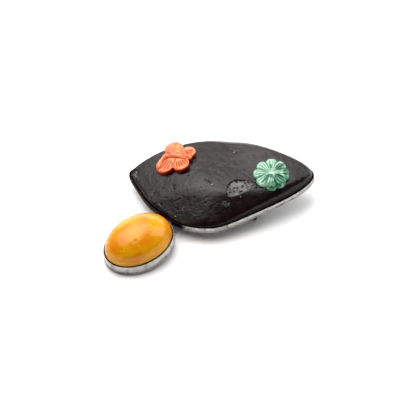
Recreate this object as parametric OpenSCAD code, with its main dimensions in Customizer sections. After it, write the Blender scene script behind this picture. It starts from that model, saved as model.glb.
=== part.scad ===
// Amber brooch: a dark amber slab and a yellow amber cabochon in soldered silver, with a coral butterfly
// and a jade flower glued on the slab. Millimetres. The brooch frame has its XY plane on the underside of
// the back plates; posed() lays the brooch on the table, tilted as it rests on its pin.

/* [Rest on the table] */
// How far the back edge is raised, in degrees
rest_pitch = 6; // [4:0.5:8]
// How far the right tip is raised, in degrees
rest_roll = 4; // [2:0.5:6]

/* [Setting] */
// Thickness of the back plates
plate_t = 0.6; // [0.4:0.1:1]
// Thickness of the bezel walls
wall_t = 0.4; // [0.3:0.05:0.6]
// Height of the bezel round the slab
slab_wall_h = 1.9; // [1.5:0.1:2.4]
// Height of the bezel round the cabochon
cab_wall_h = 3.7; // [3:0.1:4.2]
// Gap between a stone and its setting
stone_gap = 0.07; // [0.05:0.01:0.15]
// Width of the soldered bridge between the two bezels
bridge_w = 6.5; // [5:0.5:8]

/* [Slab] */
// Height of the slab's crest above the back of the plate
crest_z = 7.9; // [7.5:0.1:9]
// Height where the stone leaves its bezel
rim_z = 1.6; // [1.2:0.1:1.8]
// Depth of the broken pit on the ridge
pit_deep = 0.9; // [0:0.1:1.2]

/* [Cabochon] */
// Length of the cabochon
cab_l = 24; // [20:0.5:26]
// Width of the cabochon
cab_w = 18; // [14:0.5:19]
// Height of the dome above the top of its straight side
cab_dome_h = 8.2; // [6:0.1:9]
// Direction of the cabochon's length, in degrees
cab_turn = 35.4; // [30:0.1:40]

/* [Carvings] */
// Overall thickness of the butterfly
butterfly_t = 2.5; // [2:0.1:3]
// Radius of the flower to the tips of its petals
flower_r = 5.9; // [5:0.1:6.5]
// Thickness of the flower
flower_t = 2.1; // [1.5:0.1:2.6]
// Number of petals
petals = 8; // [6:1:10]
// Gap of glue under a carving
glue_gap = 0.25; // [0.15:0.05:0.3]

/* [Pin] */
// Radius of the pin's wire
wire_r = 0.45; // [0.35:0.05:0.55]
// Depth of the pin's axis below the back plate
pin_depth = 3.7; // [3.4:0.1:4]
// Clearance of the pin in its catch and of its rivet in the hinge
pin_gap = 0.06; // [0.04:0.01:0.1]

/* [Hidden] */
$fn = 48;

// Middle of the whole brooch in plan, which stands over the origin
middle = [3.4, -3.45];

// Outer edge of the slab's bezel, anticlockwise from the right tip
slab_edge = [
    [38.4, 6.8], [37.3, 9.8], [31.8, 14.3], [22.3, 19.8], [14.6, 22.3], [4.5, 23.3], [-4, 21.9], [-12, 19.2],
    [-19, 15.7], [-22.6, 13.3], [-23.9, 11.3], [-23, 8.4], [-20.7, 3.8], [-17.5, -1.8], [-12.6, -7],
    [-5.5, -12.3], [2.6, -14.1], [9, -12.9], [18.8, -8.3], [28.6, -3.1], [34, 0.6], [37.3, 4]
];
edge_steps = 5;
// Point inside the slab from which its mesh fans out
slab_hub = [7, 4];
// Direction from the hub in degrees, and how steeply the side of the slab rises there
side_slopes = [
    [-180, 1.6], [-165, 1.5], [-150, 1.3], [-128, 0.9], [-104, 0.75], [-75, 0.75], [-50, 0.66],
    [-30, 0.68], [-10, 1.1], [5, 2.2], [25, 2.2], [60, 1.8], [90, 1.9], [120, 2.6], [150, 3.5],
    [165, 4.5], [180, 1.6]
];
// The same directions again: how high the steep foot of the side is there
side_feet = [
    [-180, 0.3], [-125, 0.3], [-108, 0.4], [-90, 1.2], [-72, 1.7], [-52, 3.4], [-30, 3.6], [-10, 2.6],
    [5, 1.2], [25, 0], [180, 0.3]
];
foot_w = 0.8;
// Direction from the hub in degrees, and how widely the side blends into the top there
side_blends = [
    [-180, 0.7], [-150, 0.8], [-120, 1.2], [-75, 1.2], [-50, 1.2], [-20, 1.6], [10, 2.6], [40, 4.2],
    [80, 4.4], [110, 3], [150, 1], [170, 0.7], [180, 0.7]
];
// How far round, in degrees, these tables are softened
soften_turn = 12;
// How many rays to each side the distance square to the edge is averaged over
soften_rays = 6;
// First steep step of the stone above its bezel
toe_h = 0.5;
toe_w = 0.2;
slab_rings = 20;
// How closely the rings crowd towards the rim
slab_crowding = 1.25;
// Middle of the crown, and how the top falls away from it to the left, the right and the back
crown_at = [6, -3];
crown_left = 0.0036;
crown_right = 0.003;
crown_back = 0.0018;
// The ridge swells: how high, where, how long, and how far behind it the swelling ends
swell = 1.2;
swell_at = [-3, -3];
swell_l = 15;
swell_w = 25;
// Broad facets: a point on each, the level direction up it, its slope, and how widely it blends
left_facet = [[-18, -1], 2.3, [0.92, 0.39], 0.45, 3.2];
front_facets = [
    [[-3, -3.2], 7, [0.56, 0.83], 0.63, 0.9],
    [[2, -4.2], 8.05, [0.13, 0.99], 0.54, 0.9],
    [[14, -2.9], 8, [-0.35, 0.937], 0.63, 1]
];
// Where the right end starts to lean to the front, over what length, and by how much
lean_at = [8, 4];
lean_l = 16;
crown_lean = 0.1;

// Broken pit on the ridge
pit_middle = [14.6, -1.6];
pit_long = 5.2;
pit_wide = 2.4;
pit_turn = 20;
pit_wall = 0.35;
// Waves of the pit's ragged outline: how many round it, how high, and turned by how much
pit_waves = [[3, 0.12, 40], [5, 0.06, 0]];

cab_middle = [-19.78, -19.43];
cab_rays = 64;
cab_rings = 12;
dome_power = 2.2;
// The dome starts this far below the top of the bezel
cab_below = 0.3;
cab_side_z = cab_wall_h - cab_below;
oval_sides = 72;

bridge_middle = [-12.1, -9.1];
bridge_turn = 59;
bridge_l = 5;
bridge_low = 0.1;
bridge_high = 1.3;

// Butterfly: hub, then each part's direction and distance from the hub, and its radius
butterfly_hub = [-7.6, 12];
butterfly_parts = [
    [-145, 4.1, 3.3], // front left wing
    [-61, 3.8, 2.8],  // front right wing
    [-14, 5, 0.75],   // head
    [21, 4.6, 2.5],   // back right wing
    [98, 4.1, 3.2],   // back left wing
    [165, 3.4, 1.5],  // tail
    [90, 0.2, 2.4]    // middle
];
// The ridge of its body, from tail to head, beside the hub
body_ridge = [[-6, -3], [-5.1, -0.7], [-3.7, 0.8], [-1.2, 0.9], [1.5, -0.1], [3.7, -0.9], [5.1, -1.3]];
body_w = 0.6;
body_rise = 0.55;
carving_rays = 96;
carving_rings = [1, 0.985, 0.95, 0.88, 0.78, 0.66, 0.54, 0.42, 0.3, 0.18, 0.08];
base_rings = [1, 0.7, 0.4];
butterfly_base_rings = [1, 0.9, 0.75, 0.55, 0.3];
// The butterfly's rounded edge: how wide it is and how far it drops
edge_round = 0.8;
edge_drop = 0.6;
// How far its underside reaches down the slab's side
overhang = 0.8;

flower_middle = [24.1, 3.3];
flower_top = 8.9;
flower_lean = 0.105;
petal_turn = -2;
// The notches between the petals: how deep, and how narrow
notch = 0.13;
notch_power = 1.6;
// The flower's face, in millimetres: the bow from centre to edge, the rolled rim, the grooves and the hollow
petal_bow = 0.35;
petal_roll = 0.75;
groove_deep = 0.45;
hollow_deep = 0.5;
// Where the rim starts to roll over, and where the hollow ends, as parts of the way out
roll_from = 0.8;
hollow_to = 1 / 3;

// Finding: the pin runs from its hinge to its catch
hinge_at = [18.1, -3.4];
catch_at = [-5.6, 12.2];
knuckle_w = 1.4;
knuckle_r = 1.1;
cheek_t = 0.6;
cheek_l = 2.4;
catch_l = 2.6;
catch_w = 3.4;
tip_l = 2.5;
tip_r = 0.12;
tip_over = 1.6;
into_plate = 0.3;
far = 200;

pin_run = catch_at - hinge_at;
pin_turn = atan2(pin_run.y, pin_run.x);

// Height above the table of a point in the brooch frame is this vector times the point
up = [sin(rest_roll) * cos(rest_pitch), sin(rest_pitch), cos(rest_roll) * cos(rest_pitch)];
cab_axes = [cab_l, cab_w] / 2 + [1, 1] * (stone_gap + wall_t);
cab_lowest = cab_middle.x * up.x + cab_middle.y * up.y
    - norm([cab_axes.x * (up.x * cos(cab_turn) + up.y * sin(cab_turn)),
            cab_axes.y * (up.y * cos(cab_turn) - up.x * sin(cab_turn))]);
rest_height = -cab_lowest + middle.x * up.x + middle.y * up.y;

slab_outline = closed_curve(slab_edge, edge_steps);
slab_rays = len(slab_outline);
stone_outline = inset(slab_outline, wall_t + stone_gap);
hub_angles = [for (p = stone_outline) atan2(p.y - slab_hub.y, p.x - slab_hub.x)];
// Direction from the hub, distance to the stone's edge, and that distance square to the edge
reach_table = [for (turn = [-360, 0, 360]) for (i = [0:slab_rays - 1])
    [hub_angles[i] + turn, norm(stone_outline[i] - slab_hub)]];
square_depth = [for (i = [0:slab_rays - 1]) (stone_outline[i] - slab_hub) * outward(stone_outline, i)];
soft_depth = [for (i = [0:slab_rays - 1])
    sum([for (k = [-soften_rays:soften_rays]) square_depth[(i + k + slab_rays) % slab_rays]])
        / (2 * soften_rays + 1)];
depth_table = [for (turn = [-360, 0, 360]) for (i = [0:slab_rays - 1])
    [hub_angles[i] + turn, soft_depth[i]]];

function turned(p, a) = [p.x * cos(a) - p.y * sin(a), p.x * sin(a) + p.y * cos(a)];
function sum(v) = [for (x = v) 1] * v;
function clamp01(x) = min(max(x, 0), 1);
function ease(x) = let (s = clamp01(x)) s * s * (3 - 2 * s);
function smooth_min(a, b, k) = let (h = max(k - abs(a - b), 0) / k) min(a, b) - h * h * k / 4;

// A smooth closed curve through the given points, with a number of steps between each two
function curve_point(p0, p1, p2, p3, t) =
    0.5 * (2 * p1 + (p2 - p0) * t + (2 * p0 - 5 * p1 + 4 * p2 - p3) * t * t
        + (3 * p1 - p0 - 3 * p2 + p3) * t * t * t);
function closed_curve(p, steps) = let (n = len(p))
    [for (i = [0:n - 1]) for (s = [0:steps - 1])
        curve_point(p[(i + n - 1) % n], p[i], p[(i + 1) % n], p[(i + 2) % n], s / steps)];
function outward(c, i) = let (n = len(c), t = c[(i + 1) % n] - c[(i + n - 1) % n]) [t.y, -t.x] / norm(t);
function inset(c, d) = [for (i = [0:len(c) - 1]) c[i] - d * outward(c, i)];
function ellipse(a, b, n) = [for (i = [0:n - 1]) [a * cos(i * 360 / n), b * sin(i * 360 / n)]];

// Height of the slab's top, before and after the pit is broken out of the ridge
function facet(p, spot) = spot[1] + spot[3] * ((p - spot[0]) * spot[2]);
function slab_crown(p) = let (
    q = p - crown_at,
    lean = p - lean_at,
    raised = swell * exp(-pow((p.x - swell_at.x) / swell_l, 2)) * (1 - ease((p.y - swell_at.y) / swell_w)),
    fall = (q.x < 0 ? crown_left : crown_right) * q.x * q.x + crown_back * pow(max(q.y, 0), 2))
    smooth_min(crest_z - fall + raised + crown_lean * ease(lean.x / lean_l) * lean.y,
        facet(p, left_facet), left_facet[4]);
// A height with the front facets ground into it, one after the other
function ground(z, p, k) = k == len(front_facets) ? z
    : ground(smooth_min(z, facet(p, front_facets[k]), front_facets[k][4]), p, k + 1);
function around(table, a) = sum([for (step = [-1, 0, 1]) lookup(a + step * soften_turn, table)]) / 3;
function slab_plain(p) = let (
    q = p - slab_hub,
    a = atan2(q.y, q.x),
    inside = max(1 - norm(q) / lookup(a, reach_table), 0) * lookup(a, depth_table),
    side = rim_z + toe_h * (1 - exp(-inside / toe_w)) + around(side_slopes, a) * inside
        + around(side_feet, a) * (1 - exp(-inside / foot_w)),
    top = ground(slab_crown(p), p, 0))
    smooth_min(side, top, around(side_blends, a));
function pit(p) = let (
    q = turned(p - pit_middle, -pit_turn),
    a = atan2(q.y, q.x),
    ragged = 1 + [1, 1] * [for (w = pit_waves) w[1] * sin(w[0] * a + w[2])],
    e = norm([q.x / pit_long, q.y / pit_wide]) / ragged)
    pit_deep * ease((1 - e) / pit_wall);
function slab_top(p) = slab_plain(p) - pit(p);

// A closed solid on a fan of rays: rings of its top from the rim inwards, rings of its base, and a wall
module fan_solid(rays, top_rings, under_rings, top, under) {
    tops = len(top_rings);
    unders = len(under_rings);
    points = concat(
        [for (f = top_rings) for (i = [0:rays - 1]) top(i, f)], [top(0, 0)],
        [for (f = under_rings) for (i = [0:rays - 1]) under(i, f)], [under(0, 0)]);
    mid = tops * rays;
    low = mid + 1;
    low_mid = low + unders * rays;
    faces = concat(
        [for (k = [0:1:tops - 2]) for (i = [0:rays - 1]) for (h = [0, 1])
            let (a = k * rays + i, b = k * rays + (i + 1) % rays)
            h == 0 ? [a, a + rays, b + rays] : [a, b + rays, b]],
        [for (i = [0:rays - 1]) [(tops - 1) * rays + i, mid, (tops - 1) * rays + (i + 1) % rays]],
        [for (k = [0:1:unders - 2]) for (i = [0:rays - 1]) for (h = [0, 1])
            let (a = low + k * rays + i, b = low + k * rays + (i + 1) % rays)
            h == 0 ? [a, b, b + rays] : [a, b + rays, a + rays]],
        [for (i = [0:rays - 1]) let (a = low + (unders - 1) * rays)
            [a + i, a + (i + 1) % rays, low_mid]],
        [for (i = [0:rays - 1]) for (h = [0, 1]) let (j = (i + 1) % rays)
            h == 0 ? [low + i, i, j] : [low + i, j, low + j]]);
    polyhedron(points, faces);
}

// Lays the brooch frame on the table
module posed() {
    translate([0, 0, rest_height]) rotate([rest_pitch, 0, 0]) rotate([0, -rest_roll, 0])
        translate([-middle.x, -middle.y, 0]) children();
}

module at_cabochon() {
    translate(cab_middle) rotate(cab_turn) children();
}

module slab_stone() {
    ring = [for (j = [0:slab_rings - 1]) 1 - pow(j / slab_rings, slab_crowding)];
    on_ray = function(i, f) slab_hub + (stone_outline[i] - slab_hub) * f;
    color([0.13, 0.11, 0.11]) posed()
        fan_solid(slab_rays, ring, [1],
            function(i, f) let (p = on_ray(i, f)) [p.x, p.y, slab_top(p)],
            function(i, f) let (p = on_ray(i, f)) [p.x, p.y, plate_t + stone_gap]);
}

module amber_cabochon() {
    half = [cab_l, cab_w] / 2;
    ring = [for (j = [0:cab_rings - 1]) cos(j * 90 / cab_rings)];
    at = function(i, f) [half.x * f * cos(i * 360 / cab_rays), half.y * f * sin(i * 360 / cab_rays)];
    color([0.9, 0.6, 0.1]) posed() at_cabochon()
        fan_solid(cab_rays, ring, [1],
            function(i, f) let (p = at(i, f))
                [p.x, p.y, cab_side_z + cab_dome_h * pow(1 - pow(f, dome_power), 1 / dome_power)],
            function(i, f) let (p = at(i, f)) [p.x, p.y, plate_t + stone_gap]);
}

// Distance from the butterfly's hub to its edge in a direction: the furthest edge of its round parts
function part_reach(part, a) = let (d = a - part[0], off = part[1] * sin(d), along = part[1] * cos(d))
    abs(off) < part[2] ? along + sqrt(part[2] * part[2] - off * off) : 0;
function butterfly_reach(a) = max([for (part = butterfly_parts) part_reach(part, a)]);
function off_line(p, a, b) = let (d = b - a, t = clamp01(((p - a) * d) / (d * d))) norm(p - a - t * d);
function off_ridge(p) =
    min([for (i = [0:len(body_ridge) - 2]) off_line(p, body_ridge[i], body_ridge[i + 1])]);
function butterfly_top(p, inside) = let (
    shoulder = sqrt(1 - pow(1 - clamp01(inside / edge_round), 2)),
    ridge = body_rise * exp(-pow(off_ridge(p) / body_w, 2)))
    slab_crown(p + butterfly_hub) + butterfly_t - body_rise - edge_drop * (1 - shoulder) + ridge * shoulder;

module coral_butterfly() {
    reach = [for (i = [0:carving_rays - 1]) butterfly_reach(i * 360 / carving_rays)];
    at = function(i, f) reach[i] * f * [cos(i * 360 / carving_rays), sin(i * 360 / carving_rays)];
    color([0.93, 0.42, 0.22]) posed()
        fan_solid(carving_rays, carving_rings, butterfly_base_rings,
            function(i, f) let (p = at(i, f), q = p + butterfly_hub)
                [q.x, q.y, butterfly_top(p, reach[i] * (1 - f))],
            function(i, f) let (q = at(i, f) + butterfly_hub)
                [q.x, q.y, max(slab_plain(q), slab_crown(q) - overhang) + glue_gap]);
}

// Petals: a scalloped edge, a groove between petals, and a rim that rolls over
function petal_wave(a) = abs(cos((a - petal_turn) * petals / 2));
function flower_reach(a) = flower_r * (1 - notch * pow(1 - petal_wave(a), notch_power));
function flower_face(a, f) = let (
    roll = petal_roll * (1 - sqrt(1 - pow(clamp01((f - roll_from) / (1 - roll_from)), 2))),
    groove = groove_deep * pow(1 - petal_wave(a), 3) * ease(f / hollow_to) * (1 - f / 2),
    hollow = hollow_deep * (1 - ease(f / hollow_to)))
    -petal_bow * f * f - roll - groove - hollow;
function flower_plane(q) = flower_top + flower_lean * (q.y - flower_middle.y);

module jade_flower() {
    ray = function(i) i * 360 / carving_rays;
    at = function(i, f) flower_middle + flower_reach(ray(i)) * f * [cos(ray(i)), sin(ray(i))];
    color([0.5, 0.78, 0.62]) posed()
        fan_solid(carving_rays, carving_rings, base_rings,
            function(i, f) let (q = at(i, f)) [q.x, q.y, flower_plane(q) + flower_face(ray(i), f)],
            function(i, f) let (q = at(i, f), behind = ease((q.y - flower_middle.y) / flower_r))
                [q.x, q.y, max(slab_plain(q) + glue_gap, flower_plane(q) - flower_t - behind)]);
}

// Both bezels and back plates with the bridge between them, before the stones' seats are sunk
module blank() {
    linear_extrude(slab_wall_h) polygon(slab_outline);
    at_cabochon() linear_extrude(cab_wall_h) polygon(ellipse(cab_axes.x, cab_axes.y, oval_sides));
    translate([bridge_middle.x, bridge_middle.y, bridge_low]) rotate(bridge_turn)
        translate([-bridge_l / 2, -bridge_w / 2, 0]) cube([bridge_l, bridge_w, bridge_high - bridge_low]);
}

module seats() {
    translate([0, 0, plate_t]) linear_extrude(slab_wall_h) polygon(inset(slab_outline, wall_t));
    at_cabochon() translate([0, 0, plate_t]) linear_extrude(cab_wall_h)
        polygon(ellipse(cab_axes.x - wall_t, cab_axes.y - wall_t, oval_sides));
}

// Places a child with X along the pin, from the hinge, and Z = 0 at the back of the plate
module along_pin() {
    translate(hinge_at) rotate(pin_turn) children();
}

module hinge() {
    reach = knuckle_w / 2 + pin_gap;
    difference() {
        for (side = [-1, 1])
            translate([-cheek_l / 2, side > 0 ? reach : -reach - cheek_t, -2 * pin_depth])
                cube([cheek_l, cheek_t, 2 * pin_depth + into_plate]);
        translate([0, 0, -pin_depth]) rotate([90, 0, 0])
            cylinder(h = far, r = wire_r + pin_gap, center = true);
    }
}

module catch() {
    slot = wire_r + pin_gap;
    translate([norm(pin_run), 0, 0]) difference() {
        translate([-catch_l / 2, -catch_w / 2, -2 * pin_depth])
            cube([catch_l, catch_w, 2 * pin_depth + into_plate]);
        translate([0, 0, -pin_depth]) rotate([0, 90, 0]) cylinder(h = far, r = slot, center = true);
        translate([-catch_l, 0, -pin_depth - slot]) cube([2 * catch_l, catch_w, 2 * slot]);
    }
}

module setting() {
    color([0.75, 0.75, 0.74]) union() {
        posed() difference() {
            blank();
            seats();
        }
        intersection() {
            posed() along_pin() union() {
                hinge();
                catch();
            }
            translate([-far / 2, -far / 2, 0]) cube([far, far, far]);
        }
    }
}

module pin_stem() {
    stem_l = norm(pin_run) + catch_l / 2 + tip_over;
    color([0.7, 0.7, 0.7]) posed() along_pin() translate([0, 0, -pin_depth]) union() {
        rotate([90, 0, 0]) cylinder(h = knuckle_w, r = knuckle_r, center = true);
        rotate([90, 0, 0]) cylinder(h = knuckle_w + 2 * (pin_gap + cheek_t), r = wire_r, center = true);
        rotate([0, 90, 0]) cylinder(h = stem_l - tip_l, r = wire_r);
        translate([stem_l - tip_l, 0, 0]) rotate([0, 90, 0]) cylinder(h = tip_l, r1 = wire_r, r2 = tip_r);
    }
}

slab_stone();
setting();
amber_cabochon();
coral_butterfly();
jade_flower();
pin_stem();
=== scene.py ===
# %% [markdown]
# # An amber brooch, piece by piece
#
# The brooch is a large dark slab of amber in a silver setting, with a yellow amber cabochon joined to
# it at the left front. A small coral butterfly and a jade flower are glued on the slab, and a pin runs
# along the back. The solids that carry all this are already made, and come in as a fixed frame. Here
# each piece gets the shape and finish that the eye sees: carving, chips, hand-worked silver, and stone
# that lets some light in.
#
# Blender works in metres. A brooch is easier to think about in millimetres and lying flat, so every
# piece is first worked out in the brooch's own frame, in millimetres, and laid on the table last.

# %% Load the frame
from math import cos, hypot, pi, radians, sin

import bmesh
import bpy
import numpy as np
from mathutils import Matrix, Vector, noise


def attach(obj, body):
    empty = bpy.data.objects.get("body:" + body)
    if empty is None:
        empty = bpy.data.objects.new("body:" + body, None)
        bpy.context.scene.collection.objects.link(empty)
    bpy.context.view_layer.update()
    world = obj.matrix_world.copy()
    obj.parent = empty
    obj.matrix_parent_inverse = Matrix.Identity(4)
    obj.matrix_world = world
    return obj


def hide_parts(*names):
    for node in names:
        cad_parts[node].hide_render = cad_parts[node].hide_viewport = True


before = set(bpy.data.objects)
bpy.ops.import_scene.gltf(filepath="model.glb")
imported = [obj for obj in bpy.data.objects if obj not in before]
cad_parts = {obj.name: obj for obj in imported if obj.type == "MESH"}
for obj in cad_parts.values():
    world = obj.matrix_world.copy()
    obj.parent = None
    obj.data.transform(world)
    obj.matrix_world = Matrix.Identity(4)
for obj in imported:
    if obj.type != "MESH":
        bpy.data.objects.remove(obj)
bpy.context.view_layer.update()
print("nodes in the frame:", sorted(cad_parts))

# %% [markdown]
# ## How the brooch lies
#
# It doesn't lie flat. The edge of the cabochon's bezel touches the table in front, and the hinge and
# the catch of the pin touch it further back, so the right tip and the back edge stand up. The two
# angles below are those of the real thing at rest. The height follows from them: the lowest point of
# the oval bezel has to come to the table.

# %% Sizes of the setting, and how it lies
REST_PITCH = radians(6)
REST_ROLL = radians(4)
MIDDLE = (3.4, -3.45)
PLATE = 0.6
WALL = 0.4
SLAB_WALL_H = 1.9
CAB_WALL_H = 3.7
STONE_GAP = 0.07
CAB_L = 24
CAB_W = 18
CAB_MIDDLE = (-19.78, -19.43)
CAB_TURN = radians(35.4)
MM = 0.001

up = (sin(REST_ROLL) * cos(REST_PITCH), sin(REST_PITCH), cos(REST_ROLL) * cos(REST_PITCH))
cab_half = (CAB_L / 2 + STONE_GAP + WALL, CAB_W / 2 + STONE_GAP + WALL)
along = cab_half[0] * (up[0] * cos(CAB_TURN) + up[1] * sin(CAB_TURN))
across = cab_half[1] * (up[1] * cos(CAB_TURN) - up[0] * sin(CAB_TURN))
cab_lowest = CAB_MIDDLE[0] * up[0] + CAB_MIDDLE[1] * up[1] - hypot(along, across)
rest_height = MIDDLE[0] * up[0] + MIDDLE[1] * up[1] - cab_lowest


def turned(x, y, angle, middle=(0, 0)):
    """Coordinates turned round zero and then moved to a middle."""
    return x * cos(angle) - y * sin(angle) + middle[0], x * sin(angle) + y * cos(angle) + middle[1]


def laid(points):
    """Moves points from the brooch's frame, in mm, to their place on the table, in metres."""
    x, y, z = np.asarray(points, float).T
    x, z = turned(x - MIDDLE[0], z, REST_ROLL)
    y, z = turned(y - MIDDLE[1], z, REST_PITCH)
    return np.stack([x, y, z + rest_height], 1) * MM


print("the back plates' frame stands", round(rest_height, 3), "mm over the table at the middle")

# %% [markdown]
# ## The camera
#
# The picture is taken from the front, 45 degrees above the table, with a long lens, so the brooch
# shows little perspective. The focal length comes from how wide a field the picture takes in at the
# brooch.

# %% Camera
CAMERA_ELEVATION = radians(45)
CAMERA_DISTANCE = 0.6
# What the picture takes in at the brooch: 400 pixels, 3 for each mm
FIELD = 400 / 3 * MM
SENSOR_W = 36
camera_data = bpy.data.cameras.new("camera")
camera_data.sensor_width = SENSOR_W
camera_data.lens = SENSOR_W * CAMERA_DISTANCE / FIELD
camera = bpy.data.objects.new("camera", camera_data)
bpy.context.scene.collection.objects.link(camera)
aim = Vector(laid([(0, 0, 0)])[0])
camera.location = aim + CAMERA_DISTANCE * Vector((0, -cos(CAMERA_ELEVATION), sin(CAMERA_ELEVATION)))
camera.rotation_euler = (pi / 2 - CAMERA_ELEVATION, 0, 0)
bpy.context.scene.camera = camera
print("lens", round(camera_data.lens), "mm, aimed at", [round(v, 4) for v in aim])

# %% [markdown]
# ## Small tools for meshes
#
# Most pieces here are stacks of closed rings: a ring of points at one height, the next ring above it,
# and a point in the middle of each end. One helper skins such a stack. Rings that run anticlockwise,
# seen from above, and go from the bottom up give faces that point outwards.

# %% Rings into a mesh
def skin(rings, low=None, high=None):
    """Points and faces of a closed skin over rings, bottom ring first; low and high are its end points."""
    count = len(rings[0])
    low = rings[0].mean(0) if low is None else low
    high = rings[-1].mean(0) if high is None else high
    points = np.concatenate(list(rings) + [np.array([low, high], float)])
    i = np.arange(count)
    j = (i + 1) % count
    quads = []
    for k in range(len(rings) - 1):
        a = k * count
        quads.append(np.stack([a + i, a + j, a + count + j, a + count + i], 1))
    faces = np.concatenate(quads).tolist()
    end = len(rings) * count
    last = end - count
    faces += np.stack([j, i, np.full(count, end)], 1).tolist()
    faces += np.stack([last + i, last + j, np.full(count, end + 1)], 1).tolist()
    return points, faces


print("a skin over two square rings has", len(skin(np.zeros((2, 4, 3)))[1]), "faces")

# %% Objects from meshes
def new_object(name, data):
    made = bpy.data.objects.new(name, data)
    bpy.context.scene.collection.objects.link(made)
    return made


def shape(name, points, faces):
    """An object whose points stay where they are."""
    mesh = bpy.data.meshes.new(name)
    mesh.from_pydata(np.asarray(points, float).tolist(), [], faces)
    return new_object(name, mesh)


def smoothed(made, marks, sharp):
    """Smooth shading with sharp edges past an angle, and marks: named values, one for each point."""
    mesh = made.data
    for name, values in marks.items():
        layer = mesh.attributes.new(name, "FLOAT", "POINT")
        layer.data.foreach_set("value", np.asarray(values, np.float32))
    mesh.shade_smooth()
    mesh.set_sharp_from_angle(angle=radians(sharp))
    print(made.name, "has", len(mesh.vertices), "points and", len(mesh.polygons), "faces")


def piece(name, points, faces, material, marks, sharp=40):
    """A piece from points in the brooch's frame, laid on the table."""
    made = shape(name, laid(points), faces)
    made.data.materials.append(material)
    smoothed(made, marks, sharp)
    return made


def finished(made, node):
    """The piece stands for a solid of the frame, which is hidden, and rides on the brooch."""
    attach(made, "root")
    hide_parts(node)


# %% Helpers for curves and soft steps
def closed_curve(points, steps):
    """A smooth closed curve through the points, with a number of steps between each two."""
    p1 = np.array(points, float)[:, None, :]
    p0 = np.roll(p1, 1, 0)
    p2 = np.roll(p1, -1, 0)
    p3 = np.roll(p1, -2, 0)
    t = (np.arange(steps) / steps)[None, :, None]
    curve = 2 * p1 + (p2 - p0) * t + (2 * p0 - 5 * p1 + 4 * p2 - p3) * t**2
    curve = curve + (3 * p1 - p0 - 3 * p2 + p3) * t**3
    return (curve / 2).reshape(-1, 2)


def outward(curve):
    """Unit directions that point out of an anticlockwise closed curve."""
    run = np.roll(curve, -1, 0) - np.roll(curve, 1, 0)
    return np.stack([run[:, 1], -run[:, 0]], 1) / np.linalg.norm(run, axis=1)[:, None]


def inset(curve, distance):
    return curve - distance * outward(curve)


def at_height(curve, z):
    return np.column_stack([curve, np.broadcast_to(z, len(curve))])


def ease(x):
    s = np.clip(x, 0, 1)
    return s * s * (3 - 2 * s)


def bell(x, width):
    """1 at zero, falling away softly over a width."""
    return np.exp(-((x / width) ** 2))


def smooth_min(a, b, k):
    h = np.maximum(k - np.abs(a - b), 0) / k
    return np.minimum(a, b) - h * h * k / 4


def bumps(x, y, size, seed, octaves=3):
    """Smooth random relief about 0, whose bumps are about size mm across."""
    values = [noise.fractal((u / size, v / size, seed), 0.9, 2.1, octaves) for u, v in zip(x, y)]
    return np.array(values)


# %% [markdown]
# ## Small tools for node trees
#
# Materials and Geometry Nodes are both trees of nodes, and most nodes in them only do sums. Written out
# node by node, a rule is hard to read. So what flows out of a node gets a small class of its own, for
# which + and * make the Math nodes. An input that is given as a flow is linked, and one that is given
# as a number or a colour is set.

# %% Flows through a tree
class Flow:
    """What flows out of a node: a value, a place, a colour or a shape."""

    def __init__(self, socket):
        self.socket = socket
        self.tree = socket.id_data

    def __add__(self, other):
        return calc("ADD", self, other)

    def __sub__(self, other):
        return calc("SUBTRACT", self, other)

    def __rsub__(self, other):
        return calc("SUBTRACT", other, self)

    def __mul__(self, other):
        return calc("MULTIPLY", self, other)

    def __truediv__(self, other):
        return calc("DIVIDE", self, other)

    def __rtruediv__(self, other):
        return calc("DIVIDE", other, self)

    def __pow__(self, other):
        return calc("POWER", self, other)


def fill(node, inputs):
    """Links the inputs that are given as flows, and sets the others."""
    for key, value in dict(inputs).items():
        if isinstance(value, Flow):
            value.tree.links.new(value.socket, node.inputs[key])
        else:
            node.inputs[key].default_value = value


def add(tree, kind, inputs=(), **settings):
    """Adds a node and returns it."""
    node = tree.nodes.new(kind)
    for name, value in settings.items():
        setattr(node, name, value)
    fill(node, inputs)
    return node


def flow(tree, kind, inputs=(), out=0, **settings):
    """Adds a node and returns what flows out of it."""
    return Flow(add(tree, kind, inputs, **settings).outputs[out])


def calc(operation, *values, clamp=False):
    """A Math node's result."""
    tree = next(value.tree for value in values if isinstance(value, Flow))
    return flow(tree, "ShaderNodeMath", enumerate(values), operation=operation, use_clamp=clamp)


def spread(value, low, high, to_low=0.0, to_high=1.0):
    """Stretches the part of a value between low and high over a new range, smoothly."""
    inputs = {0: value, 1: low, 2: high, 3: to_low, 4: to_high}
    return flow(value.tree, "ShaderNodeMapRange", inputs, interpolation_type="SMOOTHSTEP")


def split(place):
    """The X, Y and Z of a place."""
    return [Flow(socket) for socket in add(place.tree, "ShaderNodeSeparateXYZ", {0: place}).outputs]


def blend(share, a, b):
    """One colour going over into another."""
    return flow(share.tree, "ShaderNodeMix", {0: share, 6: a, 7: b}, out=2, data_type="RGBA")


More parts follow.
